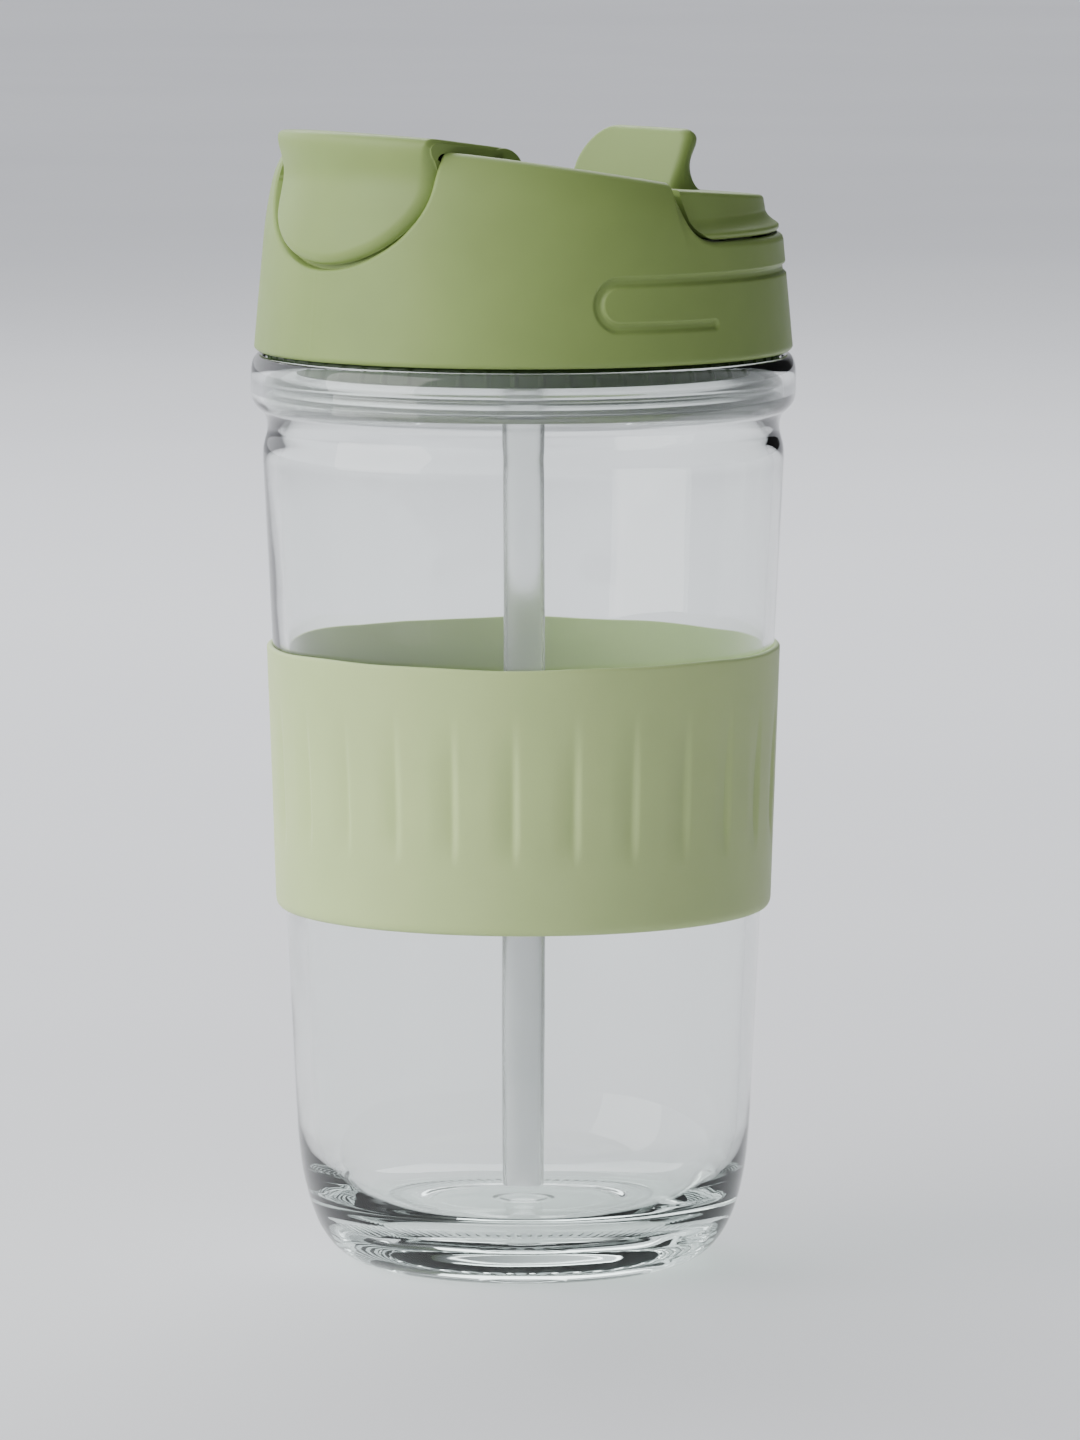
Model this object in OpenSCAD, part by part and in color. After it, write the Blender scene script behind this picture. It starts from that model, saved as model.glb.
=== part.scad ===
// Single-wall glass tumbler with a silicone grip sleeve and a two-way lid:
// a front flap over the sipping hole and a rear hatch over the straw.
// Millimetres, +Z up, origin at the centre of the base. The sipping side faces -Y.

/* [Tumbler] */
// Radius of the flat ring that the tumbler stands on
base_r = 24; // [20:0.5:27]
// Height at which the rounded bottom corner meets the straight wall
heel_h = 22; // [16:0.5:26]
// Outer radius of the wall just above the rounded corner
heel_r = 35.5; // [33:0.1:37]
// Height of the shoulder under the mouth bead
shoulder_h = 126; // [120:0.5:128]
// Outer radius of the wall at the shoulder
shoulder_r = 40.6; // [38.5:0.1:41]
// Outer radius of the mouth bead
bead_r = 42.45; // [42:0.05:43]
// Height of the tumbler's mouth
mouth_h = 142.8; // [142:0.1:143]
// Thickness of the glass wall
glass_t = 2.2; // [1.8:0.1:2.6]
// Height of the inner floor at its middle
floor_h = 7; // [4:0.2:8]

/* [Sleeve] */
// Height of the sleeve's lower edge
sleeve_lo = 56.2; // [45:0.2:65]
// Height of the sleeve's upper edge
sleeve_hi = 97.5; // [85:0.5:110]
// Outer radius of the sleeve at its lower edge
sleeve_lo_r = 38.7; // [38.2:0.1:40]
// Outer radius of the sleeve at its upper edge
sleeve_hi_r = 40.1; // [39.9:0.1:41]
// Number of finger flutes round the sleeve
flutes = 26; // [12:1:40]

/* [Lid] */
// Height of the lid's lower edge
lid_lo = 143.4; // [143:0.1:145]
// Outer radius of the lid at its lower edge
lid_lo_r = 42; // [41.5:0.1:43]
// How far the lid's side leans in for each millimetre of height
lid_lean = 0.0909; // [0.06:0.005:0.11]
// Height of the sloping top edge above the middle of the lid
top_h = 170.55; // [169:0.1:172]
// Angle by which the top edge rises towards the front
top_tilt = 9.37; // [8:0.05:10.5]
// Thickness of the lid's wall
shell_t = 2; // [1.6:0.1:2.2]
// Height of the ledge that the straw hatch closes onto
ledge_h = 161.7; // [160.5:0.1:162.5]
// Number of grip ribs round the collar
collar_ribs = 60; // [24:6:90]

/* [Sipping flap] */
// Half the width of the shield-shaped lip, seen from the front
lip_half = 18.2; // [17:0.1:18.4]
// Height of the rounded lower part of the lip
lip_round = 12.8; // [10:0.1:16]
// Lowest point of the lip
lip_lo = 158.2; // [157:0.1:160]
// Thickness of the lip
lip_t = 1.8; // [1.4:0.1:2]
// Hinge pin of the flap, distance in front of the axis
flap_pin_u = 19.5; // [19:0.1:20]
// Hinge pin of the flap, height
flap_pin_z = 171.6; // [171.4:0.1:171.8]
// Distance of the sipping hole in front of the axis
sip_u = 29.2; // [28.8:0.1:29.4]
// Radius of the sipping hole
sip_r = 3.7; // [3:0.1:3.9]

/* [Straw hatch] */
// Hinge pin of the hatch, distance in front of the axis
hatch_pin_u = 9.5; // [9:0.1:10]
// Hinge pin of the hatch, height
hatch_pin_z = 168; // [167.8:0.1:168.2]
// Half the width of the hatch's tongue and of its thumb tab
tab_half = 12.8; // [11:0.2:15]
// Height of the top of the thumb tab
tab_hi = 177.3; // [174:0.1:179]

/* [Straw] */
// Outer radius of the straw
straw_r = 3.3; // [2.5:0.1:3.5]
// Wall of the straw
straw_t = 0.5; // [0.4:0.1:0.8]
// Height of the straw's lower end
straw_lo = 9.5; // [8:0.5:20]

/* [Hidden] */
$fn = 96;

gap = 0.6;                 // shadow gap between the flaps and the shell
pin_r = 1;                 // both hinge pins
pin_run = 0.05;            // running clearance round a pin
wide = 120;                // larger than anything here
deck_lo = 158;             // underside of the deck's floor
deck_t = 2;                // thickness of the deck's floor
recess_floor = 165;        // floor of the channel that the hatch's tongue lies in
flap_barrel = 4.5;         // rounded rear end of the flap
hatch_barrel = 2.4;        // rounded front end of the hatch
plate_lo = 0.2;            // underside of the flap's plate above the top edge
plate_h = 173.5;           // top of the flap's plate, carried back to the lid's axis
plate_tilt = 7.8;          // angle by which the plate rises towards the front
sip_top = -1.1;            // mouth of the sipping spout, from the top edge
straw_hi = 163;            // upper end of the straw, inside the mouthpiece
flap_half = 18.4;          // half the width of the flap's plate
pocket_z = 135;            // floor of the pocket in the mouth that holds the seal
pocket_r = 40.45;          // bore of that pocket
back_gap = 0.5;            // space between the lip and the wall behind it
back_t = 1.3;              // thickness of that wall

sage = "#a9b98a";
sage_deep = "#7f9064";
milky = "#e6e9e4";
steel = "#b9bcc0";

// Point at t on the smooth curve from a to d that leaves a towards b and reaches d from c
function bend(a, b, c, d, t) =
    a*pow(1-t, 3) + 3*b*t*pow(1-t, 2) + 3*c*t*t*(1-t) + d*pow(t, 3);
// Outer radius of the straight glass wall at height z
function wall_r(z) = heel_r + (z-heel_h)*(shoulder_r-heel_r)/(shoulder_h-heel_h);
// Outer radius of the lid at height z: a leaning side that rounds in above the ledge
function lid_r(z) = lid_lo_r - lid_lean*(z-lid_lo) - 0.0078*pow(max(0, z-161), 2);
// Outer radius of the flap's lip at height z: proud below, scooped for a fingertip above
function lip_out(z) = z < 166 ? 41.35 - 0.02*pow(z-158, 2)
    : z < 172 ? 38.05 + 2.02*pow((172-z)/6, 2)
    : 38.05 + 0.85*(1-cos(min(180, (z-172)*36)))/2;

// A turned ring between two radius functions of height, given as lists of points
module turned(points) { rotate_extrude($fn = 180) polygon(points); }

// Puts things in the plane of the lid's sloping top edge
module on_top_edge() { translate([0, 0, top_h]) rotate([-top_tilt, 0, 0]) children(); }
// Everything below the top edge, or below a plane raised from it
module below_edge(lift = 0) {
    on_top_edge() translate([-wide/2, -wide/2, lift-wide]) cube([wide, wide, wide]);
}
// Everything above a plane raised from the top edge
module above_edge(lift = 0) {
    on_top_edge() translate([-wide/2, -wide/2, lift]) cube([wide, wide, wide]);
}
// Everything below the top of the flap's plate
module below_plate() {
    translate([0, 0, plate_h]) rotate([-plate_tilt, 0, 0])
        translate([-wide/2, -wide/2, -wide]) cube([wide, wide, wide]);
}
// A bar along X through a point of the side view, where u counts forwards
module cross_bar(u, z, r, half, sides = 64) {
    translate([-half, -u, z]) rotate([0, 90, 0]) cylinder(r = r, h = 2*half, $fn = sides);
}
// A prism along X from an outline of the side view in (y, z)
module side_prism(outline, half) {
    translate([-half, 0, 0]) rotate([90, 0, 90]) linear_extrude(2*half) polygon(outline);
}
// The rear part of the lid that is open for the hatch
module rear_space() {
    side_prism([[-2.6, 171], [-1.65, 167.9], [-0.4, 165.15], [1.6, 162.9], [3.6, 161.9], [7, ledge_h],
                [wide/2, ledge_h], [wide/2, 200], [-2.6, 200]], wide/2);
}
// The part of that space that the hatch's cap fills, with a gap that widens upwards
module cap_space() {
    side_prism([[0, 170], [0.3, 168.3], [1, 166.2], [1.9, 163.8], [3.4, 162.5], [5, ledge_h+0.4],
                [wide/2, ledge_h+0.4], [wide/2, 200], [0, 200]], wide/2);
}
// The shield that the lip fills, seen from the front, grown by a margin
module shield(grow = 0) {
    mid = lip_lo+lip_round;
    translate([0, -18, 0]) rotate([90, 0, 0]) linear_extrude(40) polygon(concat(
        [for (a = [180:5:360]) [(lip_half+grow)*cos(a), mid + (lip_round+grow)*sin(a)]],
        [[lip_half+grow, 210], [-lip_half-grow, 210]]));
}
// Solid turned block inside the lip's profile, moved in by a distance
module inside_lip(inset, lo = 150, hi = 182) {
    turned(concat([[0, lo]], [for (z = [lo:1:hi]) [lip_out(max(z, 158))-inset, z]], [[0, hi]]));
}
// Solid turned block inside the lid's outer surface, moved in by a distance
module inside_lid(inset, lo = lid_lo, hi = 181) {
    turned(concat([[0, lo], [lid_r(lo)-inset, lo]],
                  [for (z = [161:2:179]) if (z > lo) [lid_r(z)-inset, z]],
                  [[lid_r(hi)-inset, hi], [0, hi]]));
}

// One piece of pressed soda-lime glass with a bead round its mouth
module glass_tumbler() {
    crown_r = 41.1;          // radius of the highest line of the mouth
    outer = concat(
        [[0, 0.8], [14, 0.8], [17, 0]],
        [for (i = [0:10]) bend([base_r, 0], [31.5, 0.6], [heel_r-0.7, 9], [heel_r, heel_h], i/10)],
        [[shoulder_r, shoulder_h], [shoulder_r-0.05, 128.2], [40.25, 130.2], [39.95, 131.6],
         [40.1, 132.7], [40.8, 133.8], [41.6, 134.6], [42.2, 135.7], [bead_r, 137]],
        [for (a = [0:10:90]) [crown_r + (bead_r-crown_r)*cos(a), mouth_h-3 + 3*sin(a)]]);
    inner = concat(
        [[pocket_r, mouth_h-0.9], [pocket_r, pocket_z+0.8], [39.8, pocket_z], [38.6, 133.6], [38.2, 132.4],
         [shoulder_r-glass_t, shoulder_h+1]],
        [for (i = [0:10]) bend([heel_r-glass_t, heel_h], [heel_r-2.9, 12], [29, floor_h+0.6], [18, floor_h+0.1], i/10)],
        [[0, floor_h]]);
    color("#dfe9e6", 0.45) turned(concat(outer, inner));
}

// Stretched moulded silicone band, fluted where the fingers hold it
module silicone_sleeve() {
    edge = 0.5;              // rounding of the upper edge
    roll = 1.2;              // larger rounding of the lower edge
    flute_w = 5;
    flute_depth = 0.45;
    flute_lo = 64;
    flute_hi = 88;
    function out_r(z) = sleeve_lo_r + (z-sleeve_lo)*(sleeve_hi_r-sleeve_lo_r)/(sleeve_hi-sleeve_lo);
    skin = 0.03;
    color(sage) difference() {
        turned([[wall_r(sleeve_lo)+skin, sleeve_lo], [out_r(sleeve_lo)-roll, sleeve_lo],
                [out_r(sleeve_lo)-roll*0.3, sleeve_lo+roll*0.3], [out_r(sleeve_lo+roll), sleeve_lo+roll], [out_r(sleeve_hi), sleeve_hi-edge],
                [out_r(sleeve_hi)-edge, sleeve_hi], [wall_r(sleeve_hi)+skin, sleeve_hi]]);
        // each flute is a step with a long ramp beside it
        for (i = [0:flutes-1]) rotate(i*360/flutes) translate([out_r(flute_lo)-flute_depth, 0, flute_lo])
            linear_extrude(flute_hi-flute_lo) polygon([[0, 0], [2, 0], [2, flute_w+2], [0.7, flute_w]]);
    }
}

// Outer moulding of the lid: side wall, sloping rim, front recess and rear ledge
module lid_shell() {
    color(sage) difference() {
        union() {
            difference() {
                intersection() { inside_lid(0); below_edge(); }
                inside_lid(shell_t, lid_lo-1);
                shield(gap);
            }
            // wall behind the lip, low enough for the lip to swing over it
            intersection() {
                difference() {
                    inside_lip(lip_t+back_gap, 156, 171);
                    inside_lip(lip_t+back_gap+back_t);
                }
                shield(2.2);
            }
            // shelf that the deck sits on
            rotate_extrude($fn = 180) translate([37.7, 156.4]) square([1.6, deck_lo-156.4]);
        }
        rear_space();
        relief_groove();
    }
}

// Decorative groove: a line round the rear whose two ends loop back under it
module relief_groove() {
    line_w = 1.5;
    depth = 0.5;
    hi = 156.3;
    lo = 149.3;
    start = 71;              // angle from the front at which the loops begin
    finish = 95;
    loop_r = (hi-lo)/2;
    module line(z, from, to) {
        rotate([0, 0, from-90]) rotate_extrude(angle = to-from, $fn = 180)
            translate([lid_r(z)-depth, z-line_w/2]) square([3, line_w]);
    }
    line(hi, start, 360-start);
    for (side = [0, 1]) mirror([side, 0, 0]) {
        line(lo, start, finish);
        rotate([0, 0, start-90]) translate([lid_r(lo)-depth-0.35, 0, (hi+lo)/2]) rotate([0, 90, 0])
            difference() {
                cylinder(r = loop_r+line_w/2, h = 4, $fn = 48);
                translate([0, 0, -1]) cylinder(r = loop_r-line_w/2, h = 6, $fn = 48);
                translate([-10, 0.05, -1]) cube([20, 20, 6]);
            }
    }
}

// Inner moulding of the lid: floor, raised table with the spout, channel and hinge seats
module lid_deck() {
    spout_r = 5.3;
    pocket_lo = -4;
    clear = 0.4;
    module flap_trough() {
        cross_bar(flap_pin_u, flap_pin_z, flap_barrel+clear, flap_half+clear, 96);
    }
    module behind_lip() {
        difference() { shield(3); inside_lip(lip_t+back_gap+back_t+0.2); }
    }
    color(sage) difference() {
        union() {
            difference() {
                translate([0, 0, deck_lo]) cylinder(r = 38.2, h = deck_t, $fn = 180);
                behind_lip();
            }
            difference() {
                intersection() {
                    inside_lid(shell_t+0.2, deck_lo);
                    below_edge(-1);
                    translate([-wide/2, -wide, deck_lo]) cube([wide, wide+0.4, 40]);
                }
                behind_lip();
                rear_space();
                // pocket under the flap, its hinge trough and the hatch's channel
                intersection() {
                    above_edge(pocket_lo);
                    translate([-flap_half-clear, -wide, 150]) cube([2*(flap_half+clear), wide-flap_pin_u, 40]);
                }
                flap_trough();
                translate([-flap_half-clear, -flap_pin_u-flap_barrel-clear, flap_pin_z])
                    cube([2*(flap_half+clear), 2*(flap_barrel+clear), 20]);
                translate([-tab_half-clear, -hatch_pin_u-hatch_barrel-clear, recess_floor])
                    cube([2*(tab_half+clear), 30, 20]);
            }
            // spout
            difference() {
                intersection() {
                    translate([0, -sip_u, 165]) cylinder(r = spout_r, h = 20);
                    below_edge(sip_top);
                }
                flap_trough();
            }
        }
        // hollow underside
        translate([0, 0, deck_lo-1]) intersection() {
            cylinder(r = 34.5, h = 6);
            translate([-wide/2, -wide-1.6, 0]) cube([wide, wide, 40]);
        }
        translate([0, -sip_u, 150]) cylinder(r = sip_r, h = 40);
        translate([0, 0, 150]) cylinder(r = straw_r+1.2, h = 40);
        translate([0, 5.6, 150]) cylinder(r = 1, h = 40, $fn = 32);
        cross_bar(flap_pin_u, flap_pin_z, pin_r, 22);
        cross_bar(hatch_pin_u, hatch_pin_z, pin_r, 17);
    }
}

// Ribbed ring under the shell that carries the seal
module lid_collar() {
    rib = 0.35;
    body_r = 39.6;
    color(sage_deep) {
        turned([[36, 140.2], [body_r, 140.2], [body_r, 143.2],
                [39.2, 143.4], [39.2, 146], [37.6, 147], [37.6, deck_lo], [36, deck_lo]]);
        for (i = [0:collar_ribs-1]) rotate(i*360/collar_ribs)
            translate([body_r-0.2, -rib/2, 140.3]) cube([0.5, rib, 2.8]);
    }
}

// Moulded silicone ring, pushed up into the collar, with two lips that wipe the mouth of the glass
module lid_seal_ring() {
    tip = pocket_r-0.12;
    neck = 35.95;
    color(milky) turned([[neck-1.4, 135.3], [38.6, 135.3], [tip, 136.1], [tip, 136.7], [38.9, 136.9],
                         [38.9, 138], [tip, 138.4], [tip, 139], [38.9, 139.6], [38.9, 140.15],
                         [neck, 140.15], [neck, 147], [neck-1.4, 147]]);
}

// Front flap: shield-shaped lip, plate and rounded hinge end in one moulding
module sip_flap() {
    color(sage) difference() {
        union() {
            intersection() {
                difference() { inside_lip(0); inside_lip(lip_t); }
                shield();
                below_plate();
            }
            intersection() {
                inside_lip(0, 165);
                above_edge(plate_lo);
                below_plate();
                translate([-flap_half, -wide-flap_pin_u, 150]) cube([2*flap_half, wide, 60]);
            }
            intersection() {
                cross_bar(flap_pin_u, flap_pin_z, flap_barrel, flap_half, 96);
                below_plate();
            }
        }
        cross_bar(flap_pin_u, flap_pin_z, pin_r+pin_run, wide/2);
    }
}

// Steel pin pressed into the deck, on which the front flap turns
module sip_flap_pin() { color(steel) cross_bar(flap_pin_u, flap_pin_z, pin_r, 21.8); }

// Silicone pad under the flap that closes the spout
module sip_pad() {
    color(milky) intersection() {
        translate([0, -sip_u, 165]) cylinder(r = 4.9, h = 20);
        above_edge(sip_top+0.3);
        below_edge(plate_lo);
    }
}

// Side view of the thumb tab: straight front leaning back, hollowed rear
function tab_side() = concat(
    [[18.9, 166.6], [19.4, 168]],
    [for (i = [0:4]) bend([22.5, tab_hi-0.9], [22.8, tab_hi-0.1], [23.3, tab_hi], [23.9, tab_hi], i/4)],
    [for (i = [0:4]) bend([24.4, tab_hi-0.2], [25.2, tab_hi-0.6], [25.5, tab_hi-1.4], [25.4, tab_hi-2.2], i/4)],
    [for (i = [1:6]) bend([25.4, tab_hi-2.2], [23.5, tab_hi-4.8], [23.3, tab_hi-7.4], [25.8, 167.9], i/6)],
    [[27, 167.4], [27, 166.4]]);
// Front view of the thumb tab: one broad and one tight top corner
function tab_front() = concat(
    [[tab_half, 160]],
    [for (a = [0:15:90]) [tab_half-2 + 2*cos(a), tab_hi-2 + 2*sin(a)]],
    [for (a = [90:10:180]) [8.5-tab_half + 8.5*cos(a), tab_hi-8 + 8*sin(a)]],
    [[-tab_half, 160]]);

// Rear hatch: tongue, rear cap with its wall and the thumb tab in one moulding
module straw_hatch() {
    cap_t = 2;
    cap_h = 169.75;          // top of the hatch over the lid's axis
    cap_tilt = 4.57;
    function cap_r(z) = z < 163 ? 39.7 : z < 165.5 ? 37.55+2.15*pow((165.5-z)/2.5, 2) : 37.55-0.17*(z-165.5);
    module below_cap(drop = 0) {
        translate([0, 0, cap_h-drop]) rotate([-cap_tilt, 0, 0])
            translate([-wide/2, -wide/2, -wide]) cube([wide, wide, wide]);
    }
    module cap_block(inset, lo) {
        turned(concat([[0, lo]], [for (z = [lo:0.5:172]) [cap_r(z)-inset, z]], [[0, 172]]));
    }
    color(sage) difference() {
        union() {
            // cap
            difference() {
                intersection() {
                    cap_block(0, ledge_h);
                    below_cap();
                    cap_space();
                }
                intersection() {
                    cap_block(1.8, ledge_h-1);
                    below_cap(cap_t);
                }
            }
            // tongue
            intersection() {
                translate([-tab_half, -hatch_pin_u, 160]) cube([2*tab_half, hatch_pin_u+6, 20]);
                below_cap();
                difference() {
                    translate([-wide/2, -wide/2, 160]) cube([wide, wide, 20]);
                    below_cap(cap_t);
                }
            }
            cross_bar(hatch_pin_u, hatch_pin_z, hatch_barrel, tab_half, 64);
            intersection() {
                side_prism(tab_side(), tab_half);
                translate([0, wide/2, 0]) rotate([90, 0, 0]) linear_extrude(wide) polygon(tab_front());
            }
        }
        cross_bar(hatch_pin_u, hatch_pin_z, pin_r+pin_run, wide/2);
    }
}

// Steel pin pressed into the deck, on which the rear hatch turns
module straw_hatch_pin() { color(steel) cross_bar(hatch_pin_u, hatch_pin_z, pin_r, 16.8); }

// Silicone pad under the hatch that closes the mouthpiece and the vent hole
module hatch_pad() {
    color(milky) difference() {
        translate([-5.2, -5.4, 167.1]) cube([10.4, 12.8, 2]);
        translate([0, 0, 169.75-2]) rotate([-4.57, 0, 0]) translate([-20, -20, 0]) cube([40, 40, 10]);
    }
}

// Soft silicone mouthpiece pushed up through the deck; the straw plugs into it from below
module straw_mouthpiece() {
    hole_r = straw_r+1.2;
    bore_r = straw_r-straw_t;
    color(milky) turned([[straw_r, deck_lo-6], [5.6, deck_lo-6], [5.6, deck_lo-0.2], [hole_r-0.03, deck_lo-0.2],
                         [hole_r-0.03, 165.1], [4.9, 165.1], [4.6, 166.7], [bore_r, 166.7],
                         [bore_r, straw_hi], [straw_r, straw_hi]]);
}

// Frosted plastic straw
module drinking_straw() {
    color("#eef0ee", 0.8) translate([0, 0, straw_lo]) difference() {
        cylinder(r = straw_r, h = straw_hi-straw_lo, $fn = 64);
        translate([0, 0, -1]) cylinder(r = straw_r-straw_t, h = straw_hi-straw_lo+2, $fn = 64);
    }
}

glass_tumbler();
silicone_sleeve();
lid_shell();
lid_deck();
lid_collar();
lid_seal_ring();
sip_flap();
sip_flap_pin();
sip_pad();
straw_hatch();
straw_hatch_pin();
hatch_pad();
straw_mouthpiece();
drinking_straw();
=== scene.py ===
# Clear glass tumbler with a green silicone sleeve and a green moulded lid. The lid has a
# sipping flap in front and a straw hatch behind, so it is put together here in that order:
# glass, sleeve, collar and seal, shell, deck, straw, front flap, rear hatch.
import math

import bmesh
import bpy
import numpy as np
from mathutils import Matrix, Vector


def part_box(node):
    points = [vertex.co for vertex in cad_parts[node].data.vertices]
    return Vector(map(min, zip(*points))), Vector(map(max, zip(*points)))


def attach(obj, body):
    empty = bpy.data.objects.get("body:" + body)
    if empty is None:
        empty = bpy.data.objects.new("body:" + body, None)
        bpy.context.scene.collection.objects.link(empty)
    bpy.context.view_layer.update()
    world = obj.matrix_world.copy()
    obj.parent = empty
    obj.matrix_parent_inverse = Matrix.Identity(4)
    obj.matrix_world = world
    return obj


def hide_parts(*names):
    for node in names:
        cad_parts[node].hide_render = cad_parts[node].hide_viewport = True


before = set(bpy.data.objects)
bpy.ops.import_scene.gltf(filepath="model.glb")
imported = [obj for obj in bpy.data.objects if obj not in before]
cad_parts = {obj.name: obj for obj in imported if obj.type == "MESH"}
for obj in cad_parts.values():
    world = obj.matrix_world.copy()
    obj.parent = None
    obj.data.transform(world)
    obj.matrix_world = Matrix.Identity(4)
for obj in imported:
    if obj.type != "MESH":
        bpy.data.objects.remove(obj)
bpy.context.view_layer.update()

# ---- Camera -------------------------------------------------------------------------------
# A long lens at the height of a seated eye, a metre and a half away, to the right of the
# sipping side and looking slightly down.
STAND_OFF = 1.472
EYE_HEIGHT = 0.2555
ROUND_FROM_FRONT = math.radians(50)
LOOK_DOWN = math.radians(6.6)

camera = bpy.data.objects.new("camera", bpy.data.cameras.new("camera"))
bpy.context.scene.collection.objects.link(camera)
bpy.context.scene.camera = camera
camera.location = (math.sin(ROUND_FROM_FRONT) * STAND_OFF,
                   -math.cos(ROUND_FROM_FRONT) * STAND_OFF, EYE_HEIGHT)
gaze = Vector((-math.sin(ROUND_FROM_FRONT) * math.cos(LOOK_DOWN),
               math.cos(ROUND_FROM_FRONT) * math.cos(LOOK_DOWN), -math.sin(LOOK_DOWN)))
camera.rotation_euler = gaze.to_track_quat("-Z", "Y").to_euler()
camera.data.sensor_width = 36
camera.data.lens = 236.8
camera.data.shift_x = 0.0115
camera.data.clip_start = 0.1
camera.data.clip_end = 60

# ---- Glass tumbler ------------------------------------------------------------------------
# One piece of pressed soda-lime glass: a flat foot ring, a thick bottom with a ring of small
# grip marks, a leaning wall, and a rounded bead round the mouth with a pocket for the seal.
MM = 0.001
FOOT_R = 24.0
HEEL_R, HEEL_H = 35.5, 22.0
SHOULDER_R, SHOULDER_H = 40.6, 126.0
GLASS_T = 2.2
FLOOR_H = 7.0
POCKET_R = 40.45
MOUTH_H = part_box("glass_tumbler")[1].z / MM
BEAD_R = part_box("glass_tumbler")[1].x / MM


def bend(a, b, c, d, count=12):
    """Points from a to d on a smooth curve that leaves towards b and arrives from c."""
    steps = np.linspace(0, 1, count)[:, None]
    a, b, c, d = (np.array(p, float) for p in (a, b, c, d))
    curve = (a * (1 - steps) ** 3 + 3 * b * steps * (1 - steps) ** 2
             + 3 * c * steps ** 2 * (1 - steps) + d * steps ** 3)
    return [tuple(p) for p in curve]


def straight(a, b, count):
    """Points from a to b, so that a long side still bends evenly."""
    return [tuple(np.array(a) + (np.array(b) - np.array(a)) * t) for t in np.linspace(0, 1, count)]


def tidy_line(points):
    """The points without the ones that repeat where two curves meet."""
    kept = [points[0]]
    for p in points[1:]:
        if math.dist(p, kept[-1]) > 1e-4:
            kept.append(p)
    return kept


def make_piece(name, points, faces, body, *nodes):
    """A smooth mesh from points in millimetres, riding on a body and standing for CAD nodes."""
    mesh = bpy.data.meshes.new(name)
    mesh.from_pydata((np.asarray(points) * MM).tolist(), [], faces)
    mesh.validate()
    mesh.polygons.foreach_set("use_smooth", [True] * len(mesh.polygons))
    piece = bpy.data.objects.new(name, mesh)
    bpy.context.scene.collection.objects.link(piece)
    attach(piece, body)
    if nodes:
        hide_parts(*nodes)
    return piece


def net(rows, columns, wrap_rows, wrap_columns):
    """Four-sided faces of a grid of points, row by row."""
    faces = []
    for i in range(rows if wrap_rows else rows - 1):
        below, above = i * columns, ((i + 1) % rows) * columns
        for j in range(columns if wrap_columns else columns - 1):
            k = (j + 1) % columns
            faces.append((below + j, below + k, above + k, above + j))
    return faces


def turn(name, outline, steps, body, *nodes, shape=None, closed=False):
    """A turned solid. The outline runs from axis to axis, or is a closed loop round a ring."""
    line = np.array(tidy_line(outline))
    angle = np.linspace(0, 2 * math.pi, steps, endpoint=False)
    r = np.repeat(line[:, :1], steps, 1)
    z = np.repeat(line[:, 1:], steps, 1)
    phi = np.repeat(angle[None], len(line), 0)
    if shape:
        r, z = shape(r, z, phi)
    points = np.stack([r * np.sin(phi), -r * np.cos(phi), z], -1).reshape(-1, 3)
    faces = net(len(line), steps, closed, True)
    if not closed:
        faces = [f for f in faces if not (f[0] < steps or f[-1] >= len(points) - steps)]
        last = len(points) - steps
        points[:steps] = points[0]
        points[last:] = points[last]
        faces += [(0, steps + (j + 1) % steps, steps + j) for j in range(steps)]
        faces += [(last - steps + j, last - steps + (j + 1) % steps, last) for j in range(steps)]
    piece = make_piece(name, points, faces, body, *nodes)
    clean_normals(piece)
    return piece


def clean_normals(piece):
    """Turns every face outwards and drops loose points."""
    work = bmesh.new()
    work.from_mesh(piece.data)
    bmesh.ops.remove_doubles(work, verts=work.verts, dist=1e-7)
    bmesh.ops.dissolve_degenerate(work, edges=work.edges, dist=1e-7)
    bmesh.ops.delete(work, geom=[v for v in work.verts if not v.link_faces], context="VERTS")
    bmesh.ops.recalc_face_normals(work, faces=work.faces)
    work.to_mesh(piece.data)
    work.free()
    piece.data.polygons.foreach_set("use_smooth", [True] * len(piece.data.polygons))


def new_finish(name):
    """An empty material with its shader, and a helper that adds nodes."""
    finish = bpy.data.materials.new(name)
    finish.use_nodes = True
    tree = finish.node_tree
    shader = tree.nodes["Principled BSDF"]

    def add(kind, **values):
        node = tree.nodes.new(kind)
        for key, value in values.items():
            if key in node.inputs:
                node.inputs[key].default_value = value
            else:
                setattr(node, key.lower(), value)
        return node

    return finish, tree.links.new, shader, add


def grain(link, add, scale, detail=4.0, roughness=0.6):
    """Noise that stays with the piece, at so many grains to the metre."""
    place = add("ShaderNodeTexCoord")
    noise = add("ShaderNodeTexNoise", Scale=scale, Detail=detail, Roughness=roughness)
    link(place.outputs["Object"], noise.inputs["Vector"])
    return noise


def ramp(link, add, source, low, high, start=0.3, end=0.7):
    """A soft change of colour or value across a texture."""
    blend = add("ShaderNodeValToRGB")
    blend.color_ramp.elements[0].position = start
    blend.color_ramp.elements[1].position = end
    blend.color_ramp.elements[0].color = low if len(low) == 4 else (*low, 1)
    blend.color_ramp.elements[1].color = high if len(high) == 4 else (*high, 1)
    link(source, blend.inputs["Fac"])
    return blend.outputs["Color"]


def value_range(link, add, source, low, high):
    """A texture's 0 to 1 brought to a range."""
    spread = add("ShaderNodeMapRange")
    spread.inputs["To Min"].default_value = low
    spread.inputs["To Max"].default_value = high
    link(source, spread.inputs["Value"])
    return spread.outputs["Result"]


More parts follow.
